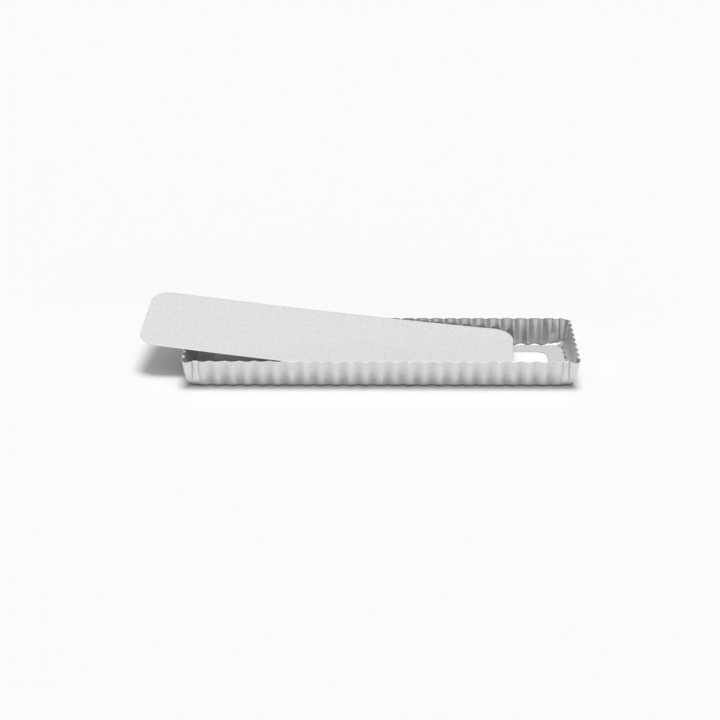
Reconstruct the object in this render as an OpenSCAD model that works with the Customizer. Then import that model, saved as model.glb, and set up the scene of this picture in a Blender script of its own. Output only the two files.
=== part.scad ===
// Loose-bottomed rectangular fluted tart pan: a pressed ring and a flat base that lifts out.
// Millimetres, +Z up. The origin is the middle of the face that the ring rests on.

/* [Ring] */
// Length over the rim, measured over the flutes
rim_l = 350; // [300:5:400]
// Width over the rim, measured over the flutes
rim_w = 110; // [100:5:150]
// Height of the rim above the resting face
rim_h = 25; // [20:1:35]
// Thickness of the ring's sheet
ring_t = 0.5; // [0.4:0.1:0.8]
// How far the flat underside lies inside the rim, all round
base_inset = 8.2; // [7:0.1:10]
// Angle of the wall from the vertical
draft = 11.5; // [8:0.5:12]
// Height of the curve between the wall and the flat underside
foot_h = 3; // [2:0.5:4]
// How much higher that curve starts in the middle of a corner
corner_foot = 4; // [0:0.2:5]
// Corner radius of the flat underside
seat_r = 16; // [14:1:18]
// Width of the ledge that carries the base
ledge_w = 15; // [8:1:20]
// Corner radius of the opening inside the ledge
opening_r = 9; // [6:1:15]

/* [Flutes] */
// Flutes along each long side
long_flutes = 25; // [19:1:29]
// Flutes along each short side
short_flutes = 7; // [5:1:9]
// Depth of a flute, from its outside to the crease between two flutes
flute_d = 2.6; // [1.5:0.1:2.8]
// Distance from the end of the pan to the middle of the groove beside each corner
corner_run = 13; // [12:0.5:15]
// Width of the flat groove beside each corner
groove_w = 4.6; // [3:0.2:5]
// Radius of the round flute at each corner
corner_r = 8.6; // [8:0.2:9]
// How much lower the rim is at the corners
corner_dip = 1.2; // [0:0.1:2]

/* [Base] */
// Thickness of the base sheet
base_t = 0.5; // [0.4:0.1:0.8]
// Gap between the edge of the seated base and the curve at the foot of the wall
base_play = 0.5; // [0.3:0.1:1.5]
// Corner radius of the base
base_r = 18; // [16:1:20]
// How far the middle of the base sags between its ends
base_sag = 1.9; // [0.5:0.1:2]

/* [Leaning base] */
// Place of the middle of the leaning base along the pan
lean_x = -46.8; // [-50:0.1:-40]
// Place of the middle of the leaning base across the pan
lean_y = 10.2; // [8:0.1:14]
// Height of the line between the ends of the leaning base
lean_z = 23.1; // [23:0.1:30]
// Tilt of the base about its length
lean_roll = 10.3; // [9:0.1:11]
// Slope of the base along its length
lean_pitch = 5.2; // [4:0.1:5.3]
// Turn of the base seen from above
lean_turn = -4.2; // [-5:0.1:-3]

/* [Hidden] */

half_l = rim_l / 2;
half_w = rim_w / 2;
// Half the length and width of the flat underside
seat_x = half_l - base_inset;
seat_y = half_w - base_inset;
// Length and width of the opening inside the ledge
open_l = rim_l - 2 * (base_inset + ledge_w);
open_w = rim_w - 2 * (base_inset + ledge_w);
base_l = rim_l - 2 * (base_inset + base_play);
base_w = rim_w - 2 * (base_inset + base_play);
// Radius of the base's sag
base_bend_r = (pow(base_l / 2, 2) + pow(base_sag, 2)) / (2 * base_sag);
// Width of the flank between a groove and the flute beside it
groove_flank = 0.8;
// Facets round a corner of the rim
corner_steps = 8;
// Angles round the curve at the foot of the wall, from the wall to the flat
foot_angles = [0, 45, 90];
// Places across one flute, from one crease to the next, in flute widths
flute_steps = [-0.5, -0.42, -0.25, 0, 0.25, 0.42];
tin = [0.80, 0.80, 0.81];
coated = [0.86, 0.87, 0.88];

// The value v kept between two limits
function clamp(v, lo, hi) = min(max(v, lo), hi);

// Depth of one flute at u flute widths from its middle: halfway between an arc and a round wave
function flute_dip(u, pitch) =
    let (
        arc_r = (pow(pitch / 2, 2) + pow(flute_d, 2)) / (2 * flute_d),
        arc = arc_r - sqrt(pow(arc_r, 2) - pow(u * pitch, 2)),
        wave = flute_d * (1 - cos(360 * u)) / 2
    )
    (arc + wave) / 2;

// The flutes of one side, from its first groove to its last, as [along, out]
function flute_points(half, out, count) =
    let (
        groove = half - corner_run,
        pitch = 2 * groove / count,
        last = groove - groove_w / 2 - groove_flank
    )
    [
        for (k = [0 : count - 1])
            for (u = flute_steps)
                let (along = (k + 0.5 + u) * pitch - groove)
                if (abs(along) < last - groove_flank) [along, out - flute_dip(u, pitch)]
    ];

// The groove beside a corner, from the last flute to the round corner
function groove_points(half, out) =
    let (start = half - corner_run - groove_w / 2, end = start + groove_w)
    [
        [start - groove_flank, out - 0.3 * flute_d],
        [start, out - flute_d],
        [end, out - flute_d],
        [end + 2 * groove_flank, out - 0.2 * flute_d]
    ];

// One long or short side with both its grooves, as [along, out]
function side_points(half, out, count) =
    let (groove = groove_points(half, out), n = len(groove))
    concat(
        [for (i = [n - 1 : -1 : 0]) [-groove[i][0], groove[i][1]]],
        flute_points(half, out, count),
        groove
    );

// The rim's outline, anticlockwise from the middle of the first corner, as [x, y, height]
function rim_points() =
    let (
        long_side = side_points(half_l, half_w, long_flutes),
        short_side = side_points(half_w, half_l, short_flutes)
    )
    concat(
        corner_points(0, 45, 90),
        [for (p = long_side) [-p[0], p[1], rim_h]],
        corner_points(1, 0, 90),
        [for (p = short_side) [-p[1], -p[0], rim_h]],
        corner_points(2, 0, 90),
        [for (p = long_side) [p[0], -p[1], rim_h]],
        corner_points(3, 0, 90),
        [for (p = short_side) [p[1], p[0], rim_h]],
        corner_points(0, 0, 45)
    );

// The round flute at one corner, between two angles, with its lower rim
function corner_points(quarter, from, to) =
    let (
        sx = (quarter == 0 || quarter == 3) ? 1 : -1,
        sy = quarter < 2 ? 1 : -1,
        step = 90 / corner_steps,
        last = to == 45 ? to - step : to
    )
    [
        for (a = [from : step : last])
            let (turned = quarter * 90 + a)
            [
                sx * (half_l - corner_r) + corner_r * cos(turned),
                sy * (half_w - corner_r) + corner_r * sin(turned),
                rim_h - corner_dip * sin(2 * a)
            ]
    ];

// The point of a rectangle, given by half its length and width, that lies nearest to a point
function nearest(p, half_x, half_y) = [clamp(p[0], -half_x, half_x), clamp(p[1], -half_y, half_y)];

// Unit vector from one point to another
function unit(from, to) = (to - from) / norm(to - from);

// The point nearest to p on a rectangle with round corners of radius r
function on_rounded(p, half_x, half_y, r) =
    let (c = nearest(p, half_x - r, half_y - r))
    c + r * unit(c, p);

// Height at which the foot curve starts below the rim point p, greatest in the middle of a corner
function foot_start(p) =
    let (out = unit(nearest(p, seat_x - seat_r, seat_y - seat_r), p))
    foot_h + corner_foot * pow(2 * out[0] * out[1], 2);

// The points down one skin of the sheet at a rim point: rim, foot curve, edge of the opening.
// The skin t = 0 is the outside, and the skin t = ring_t is the inside.
function skin_points(rim_point, t) =
    let (
        p = [rim_point[0], rim_point[1]],
        out = unit(nearest(p, half_l - corner_r, half_w - corner_r), p),
        foot = foot_start(p),
        wall_end = p - out * (rim_h - foot) * tan(draft),
        seat = on_rounded(wall_end, seat_x, seat_y, seat_r),
        edge = on_rounded(seat, open_l / 2, open_w / 2, opening_r)
    )
    [
        level_point(p - out * t, rim_point[2]),
        for (a = foot_angles)
            level_point(
                wall_end + (seat - wall_end) * (1 - cos(a)) - out * t * cos(a),
                foot * (1 - sin(a)) + t * sin(a)
            ),
        level_point(edge, t)
    ];

// The point p of the plan at the height z
function level_point(p, z) = [p[0], p[1], z];

// The pressed sheet: fluted wall, rolled foot and flat ledge up to the opening
module pressed_sheet() {
    rim = rim_points();
    n = len(rim);
    levels = len(foot_angles) + 2;
    outer = [for (p = rim) each skin_points(p, 0)];
    inner = [for (p = rim) each skin_points(p, ring_t)];
    function at(skin, i, level) = (skin * n + i % n) * levels + level;
    foot = levels - 1;
    polyhedron(
        points = concat(outer, inner),
        faces = concat(
            [for (i = [0 : n - 1]) for (k = [0 : levels - 2]) each [
                [at(0, i, k), at(0, i + 1, k + 1), at(0, i, k + 1)],
                [at(0, i, k), at(0, i + 1, k), at(0, i + 1, k + 1)],
                [at(1, i, k), at(1, i, k + 1), at(1, i + 1, k + 1)],
                [at(1, i, k), at(1, i + 1, k + 1), at(1, i + 1, k)]
            ]],
            [for (i = [0 : n - 1]) each [
                [at(0, i, 0), at(1, i, 0), at(1, i + 1, 0)],
                [at(0, i, 0), at(1, i + 1, 0), at(0, i + 1, 0)],
                [at(0, i, foot), at(0, i + 1, foot), at(1, i + 1, foot)],
                [at(0, i, foot), at(1, i + 1, foot), at(1, i, foot)]
            ]]
        )
    );
}

// A rectangle with round corners, centred on the origin
module rounded_rectangle(l, w, r) {
    square([l - 2 * r, w], center = true);
    square([l, w - 2 * r], center = true);
    for (x = [-1, 1])
        for (y = [-1, 1])
            translate([x * (l / 2 - r), y * (w / 2 - r)])
                circle(r = r, $fn = 96);
}

// The ring: one pressed sheet, with nothing left in the space of the opening
module fluted_ring() {
    color(tin)
        difference() {
            pressed_sheet();
            translate([0, 0, -1])
                linear_extrude(height = ring_t + 2)
                    rounded_rectangle(open_l - 2 * ring_t, open_w - 2 * ring_t, opening_r - ring_t);
        }
}

// The base as it lies level, sagging along its length, with its ends at height 0
module level_base() {
    depth = base_sag + base_t + 1;
    intersection() {
        translate([0, 0, -depth])
            linear_extrude(height = depth + 1)
                rounded_rectangle(base_l, base_w, base_r);
        translate([0, 0, base_bend_r - base_sag])
            rotate([90, 0, 0])
                difference() {
                    cylinder(r = base_bend_r, h = base_w + 2, center = true, $fn = 1440);
                    cylinder(r = base_bend_r - base_t, h = base_w + 4, center = true, $fn = 1440);
                }
    }
}

// The base leaning on the ring: one end out over the end wall, the long edge on the back wall
module loose_base() {
    color(coated)
        translate([lean_x, lean_y, lean_z])
            rotate([lean_roll, lean_pitch, lean_turn])
                level_base();
}

fluted_ring();
loose_base();
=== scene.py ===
"""A long fluted tart tin with a loose base: pieces, materials, floor, light and camera."""

import math

import bmesh
import bpy
import numpy as np
from mathutils import Euler, Matrix, Vector


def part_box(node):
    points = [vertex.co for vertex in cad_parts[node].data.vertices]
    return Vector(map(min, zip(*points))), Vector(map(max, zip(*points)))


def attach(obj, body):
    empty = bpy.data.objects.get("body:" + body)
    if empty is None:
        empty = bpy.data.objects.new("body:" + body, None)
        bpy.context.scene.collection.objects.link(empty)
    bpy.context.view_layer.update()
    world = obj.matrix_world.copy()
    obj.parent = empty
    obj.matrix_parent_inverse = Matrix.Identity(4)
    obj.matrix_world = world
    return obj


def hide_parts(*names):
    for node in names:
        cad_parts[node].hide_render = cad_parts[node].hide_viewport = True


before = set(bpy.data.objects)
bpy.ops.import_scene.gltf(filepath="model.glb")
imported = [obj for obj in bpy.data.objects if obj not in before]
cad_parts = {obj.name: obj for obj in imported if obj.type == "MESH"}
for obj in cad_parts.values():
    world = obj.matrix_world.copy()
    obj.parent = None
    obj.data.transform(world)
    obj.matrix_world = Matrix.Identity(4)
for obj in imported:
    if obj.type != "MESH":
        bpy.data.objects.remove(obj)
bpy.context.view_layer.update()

MM = 0.001
RING_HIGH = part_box("fluted_ring")[1]

# The ring, in metres. Its outside sizes are read from the ring in model.glb, and the others are the
# CAD model's.
HALF_L = RING_HIGH.x
HALF_W = RING_HIGH.y
RIM_H = RING_HIGH.z
SHEET_T = 0.5 * MM
BASE_INSET = 8.2 * MM
DRAFT = math.radians(11.5)
FOOT_H = 3 * MM
CORNER_FOOT = 4 * MM
SEAT_R = 16 * MM
LEDGE_W = 15 * MM
OPENING_R = 9 * MM
LONG_FLUTES = 25
SHORT_FLUTES = 7
FLUTE_D = 2.6 * MM
CORNER_RUN = 13 * MM
CORNER_R = 8.6 * MM
CORNER_DIP = 1.2 * MM
GROOVE_W = 4.6 * MM

# Finer than in CAD: the grooves' flanks towards the flutes and towards the corner, how far a
# groove's bottom bulges, and the share of its depth that it loses towards the foot.
GROOVE_FLANK = 0.9 * MM
CORNER_FLANK = 1.6 * GROOVE_FLANK
GROOVE_BULGE = 0.25 * MM
GROOVE_FADE = 0.75

SEAT_X = HALF_L - BASE_INSET
SEAT_Y = HALF_W - BASE_INSET
# Height at which the middle of the sheet ends below its rounded top edge.
SKIN_TOP = RIM_H - SHEET_T / 2

# The ring's grid: points per flute, round a corner, across a groove, down the wall and round the
# foot, places across the ledge, and the smallest step along the rim.
FLUTE_STEPS = 16
CORNER_STEPS = 15
GROOVE_STEPS = 15
WALL_STEPS = 10
FOOT_STEPS = 9
LEDGE_PLACES = (0.08, 0.3, 0.6, 0.9, 0.985, 1.0)
LEAST_STEP = 0.2 * MM
# Facets round the sheet's cut edge, and the angle from which an edge is shaded sharp.
EDGE_STEPS = 4
SHARP_ANGLE = math.radians(50)

# The base and where it leans, as in the CAD model.
BASE_T = 0.5 * MM
BASE_PLAY = 0.5 * MM
BASE_R = 18 * MM
BASE_SAG = 1.9 * MM
LEAN_PLACE = Vector((-46.8, 10.2, 23.1)) * MM
LEAN_TURN = [math.radians(a) for a in (10.3, 5.2, -4.2)]
# The base's grid: columns along its straight part and round a corner, and rows across it.
BASE_COLUMNS = 141
BASE_CORNER_STEPS = 13
BASE_ROWS = 41
BASE_BEVEL = 0.12 * MM

# The tinplate's finish on the wall, the ledge and the rim: its darker and lighter tone, how
# metallic it is, and how much rougher than the wall.
WALL_TONES = ((0.71, 0.696, 0.701), (0.77, 0.756, 0.761))
WALL_METAL = 0.7
WALL_ROUGHNESS = (0.26, 0.4)
LEDGE_TONES = ((0.58, 0.585, 0.60), (0.63, 0.635, 0.65))
LEDGE_METAL = 0.2
LEDGE_ROUGHER = 0.25
# The rim's lighter tones are a painted highlight along the sheet's top edge.
RIM_HIGHLIGHT_TONES = ((0.84, 0.845, 0.86), (0.90, 0.905, 0.92))
RIM_METAL = 0.85
RIM_ROUGHER = 0.12
# Where the ledge's finish and the rim's finish with its painted highlight start and are full:
# heights, and how far up a face looks.
LEDGE_HEIGHTS = (0.9 * MM, 0.55 * MM)
LEDGE_FACING = (0.9, 0.98)
RIM_HEIGHTS = (RIM_H - 0.6 * MM, RIM_H - 0.3 * MM)
# Painted shade at the foot of the wall, where it meets the floor: heights at which it is full and
# gone, and its share of the tone.
FOOT_SHADE_HEIGHTS = (0.3 * MM, 2.2 * MM)
FOOT_SHADE = 0.45
# The base's darker and lighter grain, and its finish.
BASE_TONES = ((0.605, 0.605, 0.615), (0.755, 0.755, 0.77))
BASE_METAL = 0.1
BASE_ROUGHNESS = 0.55
# How fine the patterns are along X, Y and Z, in repeats per metre.
LINES_SCALE = (900, 900, 40)
MOTTLE_SCALE = (90, 90, 90)
GRAIN_SCALE = (700, 700, 700)
# Noise values that have the darker and the lighter tone.
TONE_STOPS = (0.3, 0.7)

FLOOR_HALF = 20.0
FLOOR_TONE = (0.9, 0.9, 0.9, 1)
FLOOR_ROUGHNESS = 0.9

# The lamp's strength, width and lean in degrees, and how bright the room is.
LAMP = 2.13
LAMP_ANGLE = 28
LAMP_LEAN = (-8, 3)
ROOM_HORIZON = 1.9
ROOM_DOME = 0.59
# Between which values of a direction's Y, X and Z the room's bright parts fade in or out.
FRONT_EDGE = (-0.3, 0.6)
SIDE_EDGE = (0.5, 0.9)
HORIZON_EDGE = (0.1, 0.3)
DOME_EDGE = (0.45, 0.75)

# The camera: lens and sensor in millimetres, how far it sees, where it looks, and from where.
LENS = 104.15
SENSOR = 36
FURTHEST_SEEN = 100
CAMERA_ELEVATION = math.radians(21.94)
CAMERA_AZIMUTH = math.radians(0.2)
CAMERA_DISTANCE = 1.876
CAMERA_AIM = Vector((-18.3, 1.6, 4.2)) * MM


# ---------------------------------------------------------------- ring shape


def flute_dip(x, pitch):
    """Depth of one flute at x from its middle: halfway between an arc and a round wave."""
    radius = ((pitch / 2) ** 2 + FLUTE_D**2) / (2 * FLUTE_D)
    arc = radius - math.sqrt(radius**2 - x**2)
    wave = FLUTE_D * (1 - math.cos(2 * math.pi * x / pitch)) / 2
    return (arc + wave) / 2


def smooth(t):
    """A smooth step from 0 to 1, as t goes from 0 to 1."""
    t = min(max(t, 0.0), 1.0)
    return t * t * (3 - 2 * t)


def groove_start(half):
    """Distance along a side at which the flutes end and the first flank of the groove starts."""
    return half - CORNER_RUN - GROOVE_W / 2 - GROOVE_FLANK


def side_inset(along, half, count):
    """Inset of a straight side at a distance along it from its middle: flutes, then a groove."""
    middle = half - CORNER_RUN
    pitch = 2 * middle / count
    distance = abs(along)
    flank = groove_start(half)
    start = middle - GROOVE_W / 2
    stop = middle + GROOVE_W / 2
    if distance < flank:
        k = math.floor((along + middle) / pitch)
        return flute_dip(along + middle - (k + 0.5) * pitch, pitch)
    if distance < start:
        before = flute_dip(flank - (middle - pitch / 2), pitch)
        return before + (FLUTE_D - before) * smooth((distance - flank) / GROOVE_FLANK)
    if distance <= stop:
        return FLUTE_D - GROOVE_BULGE * math.cos(math.pi * (distance - middle) / GROOVE_W)
    return FLUTE_D * (1 - smooth((distance - stop) / CORNER_FLANK))


def side_steps(half, count):
    """Distances along a side at which the rim has a point, closer together at the grooves."""
    middle = half - CORNER_RUN
    pitch = 2 * middle / count
    flank = groove_start(half)
    stop = middle + GROOVE_W / 2 + CORNER_FLANK
    fluted = []
    for step in range(count * FLUTE_STEPS):
        x = step / FLUTE_STEPS * pitch - middle
        if abs(x) < flank - LEAST_STEP:
            fluted.append(x)
    groove = list(np.linspace(flank, stop, GROOVE_STEPS))
    groove.append((stop + half - CORNER_R) / 2)
    return [-x for x in reversed(groove)] + fluted + groove


def quarter_turned(x, y, quarters):
    """The point (x, y) turned anticlockwise by a number of quarter turns."""
    for _ in range(quarters):
        x, y = -y, x
    return x, y


def corner_points(quarter):
    """Outer rim points (x, y, z, 0) round one corner, where the rim dips."""
    sx = 1 if quarter in (0, 3) else -1
    sy = 1 if quarter < 2 else -1
    points = []
    for a in np.linspace(0, math.pi / 2, CORNER_STEPS):
        turned = quarter * math.pi / 2 + a
        x = sx * (HALF_L - CORNER_R) + CORNER_R * math.cos(turned)
        y = sy * (HALF_W - CORNER_R) + CORNER_R * math.sin(turned)
        points.append((x, y, SKIN_TOP - CORNER_DIP * math.sin(2 * a), 0.0))
    return points


def side_points(quarter):
    """Outer rim points (x, y, z, groove depth lost at the foot) along the side after a corner."""
    if quarter % 2 == 0:
        half, out, count = HALF_L, HALF_W, LONG_FLUTES
    else:
        half, out, count = HALF_W, HALF_L, SHORT_FLUTES
    points = []
    for along in side_steps(half, count):
        inset = side_inset(along, half, count)
        x, y = quarter_turned(-along, out - inset, quarter)
        in_groove = abs(along) > groove_start(half)
        points.append((x, y, SKIN_TOP, GROOVE_FADE * inset if in_groove else 0.0))
    return points


def nearest(p, half_x, half_y):
    """The point of a centred rectangle that lies nearest to p."""
    return Vector((min(max(p.x, -half_x), half_x), min(max(p.y, -half_y), half_y)))


def on_rounded(p, half_x, half_y, radius):
    """The point nearest to p on a centred rectangle with round corners."""
    centre = nearest(p, half_x - radius, half_y - radius)
    return centre + (p - centre).normalized() * radius


def foot_start(p):
    """Height at which the foot curve starts below a rim point, greatest at the corners."""
    out = (p - nearest(p, SEAT_X - SEAT_R, SEAT_Y - SEAT_R)).normalized()
    return FOOT_H + CORNER_FOOT * (2 * out.x * out.y) ** 2


def ring_section(x, y, z, fade):
    """Points down the middle of the sheet below one rim point: wall, foot curve and ledge."""
    half_t = SHEET_T / 2
    rim = Vector((x, y))
    out = (rim - nearest(rim, HALF_L - CORNER_R, HALF_W - CORNER_R)).normalized()
    foot = foot_start(rim)
    straight_end = rim - out * (RIM_H - foot) * math.tan(DRAFT)
    wall_end = straight_end + out * fade
    seat = on_rounded(wall_end, SEAT_X, SEAT_Y, SEAT_R)
    edge_x = SEAT_X - LEDGE_W + half_t
    edge_y = SEAT_Y - LEDGE_W + half_t
    edge = on_rounded(seat, edge_x, edge_y, OPENING_R + half_t)
    section = []
    for t in np.linspace(0, 1, WALL_STEPS):
        p = rim - out * half_t + (straight_end - rim) * t + out * fade * smooth(2 * t - 1)
        section.append((p.x, p.y, z + (foot - z) * t))
    for a in np.linspace(0, math.pi / 2, FOOT_STEPS)[1:]:
        p = wall_end + (seat - wall_end) * (1 - math.cos(a)) - out * half_t * math.cos(a)
        section.append((p.x, p.y, half_t + (foot - half_t) * (1 - math.sin(a))))
    for t in LEDGE_PLACES:
        p = seat + (edge - seat) * t
        section.append((p.x, p.y, half_t))
    return section


def ring_grid():
    """The ring's middle skin: a section below each rim point, anticlockwise from a corner."""
    rim = []
    for quarter in range(4):
        rim += corner_points(quarter)
        rim += side_points(quarter)
    return np.array([ring_section(*point) for point in rim])


def skin_normals(grid):
    """Unit normals of a grid that is closed round its first axis and open along its second."""
    around = np.roll(grid, -1, axis=0) - np.roll(grid, 1, axis=0)
    down = np.empty_like(grid)
    down[:, 1:-1] = grid[:, 2:] - grid[:, :-2]
    down[:, 0] = grid[:, 1] - grid[:, 0]
    down[:, -1] = grid[:, -1] - grid[:, -2]
    normals = np.cross(down, around)
    return normals / np.linalg.norm(normals, axis=2, keepdims=True)


def rounded_edge(grid, normals, end, inner, half):
    """Rows of points round the sheet's cut edge at one end of the grid, from outside to inside."""
    past = grid[:, end] - grid[:, inner]
    past /= np.linalg.norm(past, axis=1, keepdims=True)
    side = normals[:, end]
    rows = []
    for k in range(1, EDGE_STEPS):
        a = math.pi * k / EDGE_STEPS
        rows.append(grid[:, end] + half * (side * math.cos(a) + past * math.sin(a)))
    return rows


def sheet_mesh(name, grid, thickness):
    """A closed sheet with round edges about a grid that is closed round its first axis."""
    normals = skin_normals(grid)
    half = thickness / 2
    rim = rounded_edge(grid, normals, 0, 1, half)
    edge = rounded_edge(grid, normals, -1, -2, half)
    outer = [grid[:, k] + normals[:, k] * half for k in range(grid.shape[1])]
    inner = [grid[:, k] - normals[:, k] * half for k in range(grid.shape[1])]
    loop = outer + edge + inner[::-1] + rim[::-1]
    points = np.stack(loop, axis=1)
    n, m = points.shape[:2]
    faces = []
    for i in range(n):
        j = (i + 1) % n
        for k in range(m):
            after = (k + 1) % m
            faces.append((i * m + k, i * m + after, j * m + after, j * m + k))
    mesh = bpy.data.meshes.new(name)
    mesh.from_pydata([tuple(p) for p in points.reshape(-1, 3)], [], faces)
    mesh.validate()
    return mesh


def outward(obj):
    """Points every face of a closed mesh outwards."""
    work = bmesh.new()
    work.from_mesh(obj.data)
    bmesh.ops.recalc_face_normals(work, faces=work.faces)
    work.to_mesh(obj.data)
    work.free()


def shade_smooth(obj):
    """Shades a mesh smooth, except across its sharp edges."""
    for face in obj.data.polygons:
        face.use_smooth = True
    work = bmesh.new()
    work.from_mesh(obj.data)
    for edge in work.edges:
        if len(edge.link_faces) == 2 and edge.calc_face_angle(0) > SHARP_ANGLE:
            edge.smooth = False
    work.to_mesh(obj.data)
    work.free()


def make_object(name, mesh, material):
    """An object in the scene, with one material."""
    obj = bpy.data.objects.new(name, mesh)
    bpy.context.scene.collection.objects.link(obj)
    mesh.materials.append(material)
    return obj


def make_ring(material):
    """The pressed ring as one sheet: fluted wall, rolled foot and flat ledge."""
    mesh = sheet_mesh("ring_shell", ring_grid(), SHEET_T)
    obj = make_object("ring_shell", mesh, material)
    outward(obj)
    shade_smooth(obj)
    return obj


# ---------------------------------------------------------------- base shape


def base_columns(half_l):
    """Distances along the base at which its grid has a column, from end to end."""
    straight = half_l - BASE_R
    angles = np.linspace(0, math.pi / 2, BASE_CORNER_STEPS)[1:]
    arc = [straight + BASE_R * math.sin(a) for a in angles]
    middle = list(np.linspace(-straight, straight, BASE_COLUMNS))
    return [-x for x in reversed(arc)] + middle + arc


def base_points(half_l, half_w):
    """Points of the level base's lower skin, column by column, sagging along its length."""
    bend_r = (half_l**2 + BASE_SAG**2) / (2 * BASE_SAG)
    points = []
    for x in base_columns(half_l):
        past = max(abs(x) - (half_l - BASE_R), 0.0)
        half = half_w - BASE_R + math.sqrt(max(BASE_R**2 - past**2, 0.0))
        z = bend_r - BASE_SAG - math.sqrt(bend_r**2 - x**2)
        points += [(x, half * v, z) for v in np.linspace(-1, 1, BASE_ROWS)]
    return points


def apply_modifiers(obj):
    """Replaces an object's mesh by what its modifiers make of it."""
    graph = bpy.context.evaluated_depsgraph_get()
    mesh = bpy.data.meshes.new_from_object(obj.evaluated_get(graph))
    obj.modifiers.clear()
    obj.data = mesh


def make_base(material):
    """The loose base: a thin sheet with rounded edges, sagging, in its leaning place."""
    points = base_points(HALF_L - BASE_INSET - BASE_PLAY, HALF_W - BASE_INSET - BASE_PLAY)
    faces = []
    for i in range(len(points) // BASE_ROWS - 1):
        for k in range(BASE_ROWS - 1):
            a = i * BASE_ROWS + k
            faces.append((a, a + BASE_ROWS, a + BASE_ROWS + 1, a + 1))
    mesh = bpy.data.meshes.new("base_plate")
    mesh.from_pydata(points, [], faces)
    obj = make_object("base_plate", mesh, material)
    solid = obj.modifiers.new("thickness", "SOLIDIFY")
    solid.thickness = BASE_T
    solid.offset = 1
    bevel = obj.modifiers.new("edge", "BEVEL")
    bevel.width = BASE_BEVEL
    bevel.segments = 2
    bevel.limit_method = "ANGLE"
    bevel.angle_limit = math.radians(60)
    apply_modifiers(obj)
    lean = Euler(LEAN_TURN, "XYZ").to_matrix().to_4x4()
    obj.data.transform(Matrix.Translation(LEAN_PLACE) @ lean)
    outward(obj)
    shade_smooth(obj)
    return obj


# ---------------------------------------------------------------- materials


def new_material(name):
    """A material, its nodes and links, and its shader."""
    material = bpy.data.materials.new(name)
    material.use_nodes = True
    nodes = material.node_tree.nodes
    return material, nodes, material.node_tree.links, nodes["Principled BSDF"]


def noise(nodes, links, place, scale, detail):
    """Noise over the object, with its own scale along each axis."""
    stretch = nodes.new("ShaderNodeMapping")
    stretch.inputs["Scale"].default_value = scale
    links.new(place, stretch.inputs["Vector"])
    pattern = nodes.new("ShaderNodeTexNoise")
    pattern.inputs["Scale"].default_value = 1.0
    pattern.inputs["Detail"].default_value = detail
    links.new(stretch.outputs["Vector"], pattern.inputs["Vector"])
    return pattern.outputs["Fac"]


def tones(nodes, links, value, dark, light):
    """A colour between two tones, by a noise value."""
    ramp = nodes.new("ShaderNodeValToRGB")
    for stop, at, tone in zip(ramp.color_ramp.elements, TONE_STOPS, (dark, light)):
        stop.position = at
        stop.color = (*tone, 1)
    links.new(value, ramp.inputs["Fac"])
    return ramp.outputs["Color"]


def step_between(nodes, links, value, limits, low=0.0, high=1.0, curve="LINEAR"):
    """A number that goes from low to high as a value goes from one limit to the other."""
    step = nodes.new("ShaderNodeMapRange")
    step.interpolation_type = curve
    step.inputs["From Min"].default_value = limits[0]
    step.inputs["From Max"].default_value = limits[1]
    step.inputs["To Min"].default_value = low
    step.inputs["To Max"].default_value = high
    links.new(value, step.inputs["Value"])
    return step.outputs["Result"]


def combine(nodes, links, operation, a, b):
    """One number made of two."""
    node = nodes.new("ShaderNodeMath")
    node.operation = operation
    links.new(a, node.inputs[0])
    links.new(b, node.inputs[1])
    return node.outputs["Value"]


def mixed_colour(nodes, links, share, under, over):
    """The colour under, turning to the colour over where the share is 1."""
    mix = nodes.new("ShaderNodeMix")
    mix.data_type = "RGBA"
    links.new(share, mix.inputs["Factor"])
    links.new(under, mix.inputs["A"])
    links.new(over, mix.inputs["B"])
    return mix.outputs["Result"]


def darkened(nodes, links, colour, share):
    """A colour times a number from 0 to 1."""
    mix = nodes.new("ShaderNodeMix")
    mix.data_type = "RGBA"
    mix.blend_type = "MULTIPLY"
    mix.inputs["Factor"].default_value = 1.0
    links.new(colour, mix.inputs["A"])
    links.new(share, mix.inputs["B"])
    return mix.outputs["Result"]


def by_finish(nodes, links, ledge, rim, numbers):
    """A number for the wall, another where the ledge's share is 1, and a third at the rim."""
    on_wall, on_ledge, on_rim = numbers
    step = nodes.new("ShaderNodeMapRange")
    links.new(rim, step.inputs["Value"])
    links.new(step_between(nodes, links, ledge, (0, 1), on_wall, on_ledge), step.inputs["To Min"])
    step.inputs["To Max"].default_value = on_rim
    return step.outputs["Result"]


def roughen(nodes, links, value, shader, strength, distance):
    """Bumps a surface by a noise value."""
    bump = nodes.new("ShaderNodeBump")
    bump.inputs["Strength"].default_value = strength
    bump.inputs["Distance"].default_value = distance
    links.new(value, bump.inputs["Height"])
    links.new(bump.outputs["Normal"], shader.inputs["Normal"])


def upward_part(nodes, links, vector):
    """The Z part of a vector."""
    split = nodes.new("ShaderNodeSeparateXYZ")
    links.new(vector, split.inputs["Vector"])
    return split.outputs["Z"]


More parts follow.
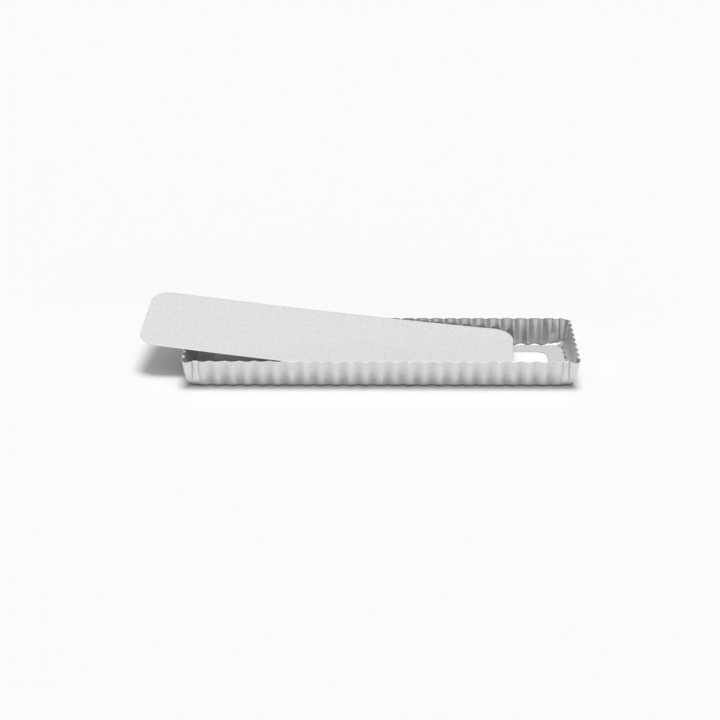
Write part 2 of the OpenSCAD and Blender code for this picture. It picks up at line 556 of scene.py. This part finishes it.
def tinplate():
    """Bright rolled tinplate with draw lines down the wall, painted shade at the foot, a painted
    highlight on the rim and a matt ledge.
    """
    material, nodes, links, shader = new_material("tinplate")
    spot = nodes.new("ShaderNodeTexCoord")
    place = spot.outputs["Object"]
    lines = noise(nodes, links, place, LINES_SCALE, detail=4)
    mottle = noise(nodes, links, place, MOTTLE_SCALE, detail=3)
    height = upward_part(nodes, links, place)
    upward = upward_part(nodes, links, spot.outputs["Normal"])
    facing = step_between(nodes, links, upward, LEDGE_FACING)
    low = step_between(nodes, links, height, LEDGE_HEIGHTS)
    ledge = combine(nodes, links, "MULTIPLY", low, facing)
    rim = step_between(nodes, links, height, RIM_HEIGHTS)
    # Painted shade: the wall's tone is darkened towards its foot, where it meets the floor.
    foot_shade = step_between(nodes, links, height, FOOT_SHADE_HEIGHTS, FOOT_SHADE, 1.0)
    colour = darkened(nodes, links, tones(nodes, links, mottle, *WALL_TONES), foot_shade)
    colour = mixed_colour(nodes, links, ledge, colour, tones(nodes, links, mottle, *LEDGE_TONES))
    # Painted highlight: the rim takes a lighter tone.
    colour = mixed_colour(nodes, links, rim, colour, tones(nodes, links, mottle, *RIM_HIGHLIGHT_TONES))
    links.new(colour, shader.inputs["Base Color"])
    metal = by_finish(nodes, links, ledge, rim, (WALL_METAL, LEDGE_METAL, RIM_METAL))
    links.new(metal, shader.inputs["Metallic"])
    grain = step_between(nodes, links, lines, (0, 1), *WALL_ROUGHNESS)
    rougher = by_finish(nodes, links, ledge, rim, (0.0, LEDGE_ROUGHER, RIM_ROUGHER))
    links.new(combine(nodes, links, "ADD", grain, rougher), shader.inputs["Roughness"])
    roughen(nodes, links, lines, shader, strength=0.12, distance=0.2 * MM)
    return material


def base_coat():
    """Matt silver-grey sheet with a fine even grain."""
    material, nodes, links, shader = new_material("base_sheet")
    shader.inputs["Metallic"].default_value = BASE_METAL
    shader.inputs["Roughness"].default_value = BASE_ROUGHNESS
    place = nodes.new("ShaderNodeTexCoord").outputs["Object"]
    grain = noise(nodes, links, place, GRAIN_SCALE, detail=3)
    links.new(tones(nodes, links, grain, *BASE_TONES), shader.inputs["Base Color"])
    roughen(nodes, links, grain, shader, strength=0.2, distance=0.1 * MM)
    return material


def floor_paint():
    """Plain matt white."""
    material, _, _, shader = new_material("floor_white")
    shader.inputs["Base Color"].default_value = FLOOR_TONE
    shader.inputs["Roughness"].default_value = FLOOR_ROUGHNESS
    shader.inputs["Specular IOR Level"].default_value = 0.0
    return material


# ---------------------------------------------------------------- stage


def make_floor():
    """The surface that the tin stands on."""
    signs = ((-1, -1), (1, -1), (1, 1), (-1, 1))
    mesh = bpy.data.meshes.new("floor")
    mesh.from_pydata([(x * FLOOR_HALF, y * FLOOR_HALF, 0) for x, y in signs], [], [(0, 1, 2, 3)])
    floor = make_object("floor", mesh, floor_paint())


def room_strength(nodes, links):
    """Brightness of the room by direction: a bright low horizon in front, and a pale dome."""
    place = nodes.new("ShaderNodeTexCoord")
    split = nodes.new("ShaderNodeSeparateXYZ")
    links.new(place.outputs["Generated"], split.inputs["Vector"])
    beside = nodes.new("ShaderNodeMath")
    beside.operation = "ABSOLUTE"
    links.new(split.outputs["X"], beside.inputs[0])

    def edge(value, limits, low, high):
        return step_between(nodes, links, value, limits, low, high, curve="SMOOTHSTEP")

    front = edge(split.outputs["Y"], FRONT_EDGE, ROOM_HORIZON, 0.0)
    middle = edge(beside.outputs["Value"], SIDE_EDGE, 1.0, 0.0)
    low = edge(split.outputs["Z"], HORIZON_EDGE, 1.0, 0.0)
    dome = edge(split.outputs["Z"], DOME_EDGE, 0.0, ROOM_DOME)
    ahead = combine(nodes, links, "MULTIPLY", front, middle)
    horizon = combine(nodes, links, "MULTIPLY", ahead, low)
    return combine(nodes, links, "ADD", horizon, dome)


def make_light():
    """A large soft light overhead, in a room with a pale dome and a bright front horizon."""
    lamp = bpy.data.lights.new("overhead", "SUN")
    lamp.energy = LAMP
    lamp.angle = math.radians(LAMP_ANGLE)
    light = bpy.data.objects.new("overhead", lamp)
    light.rotation_euler = (math.radians(LAMP_LEAN[0]), math.radians(LAMP_LEAN[1]), 0)
    bpy.context.scene.collection.objects.link(light)
    world = bpy.data.worlds.new("room")
    bpy.context.scene.world = world
    world.use_nodes = True
    nodes = world.node_tree.nodes
    links = world.node_tree.links
    links.new(room_strength(nodes, links), nodes["Background"].inputs["Strength"])
    nodes["Background"].inputs["Color"].default_value = (1, 1, 1, 1)


def make_camera():
    """Looks slightly down on the long side of the tin."""
    camera = bpy.data.cameras.new("camera")
    camera.lens = LENS
    camera.sensor_width = SENSOR
    camera.clip_end = FURTHEST_SEEN
    view = bpy.data.objects.new("camera", camera)
    bpy.context.scene.collection.objects.link(view)
    level = math.cos(CAMERA_ELEVATION)
    x = math.sin(CAMERA_AZIMUTH) * level
    y = -math.cos(CAMERA_AZIMUTH) * level
    back = Vector((x, y, math.sin(CAMERA_ELEVATION)))
    view.location = CAMERA_AIM + back * CAMERA_DISTANCE
    view.rotation_mode = "QUATERNION"
    view.rotation_quaternion = (-back).to_track_quat("-Z", "Y")
    bpy.context.scene.camera = view


# ---------------------------------------------------------------- scene

ring = make_ring(tinplate())
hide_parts("fluted_ring")
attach(ring, "ring")

base = make_base(base_coat())
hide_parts("loose_base")
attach(base, "base")

make_floor()
make_light()
make_camera()
bpy.context.scene.view_settings.view_transform = "Standard"
bpy.context.scene.view_settings.look = "None"
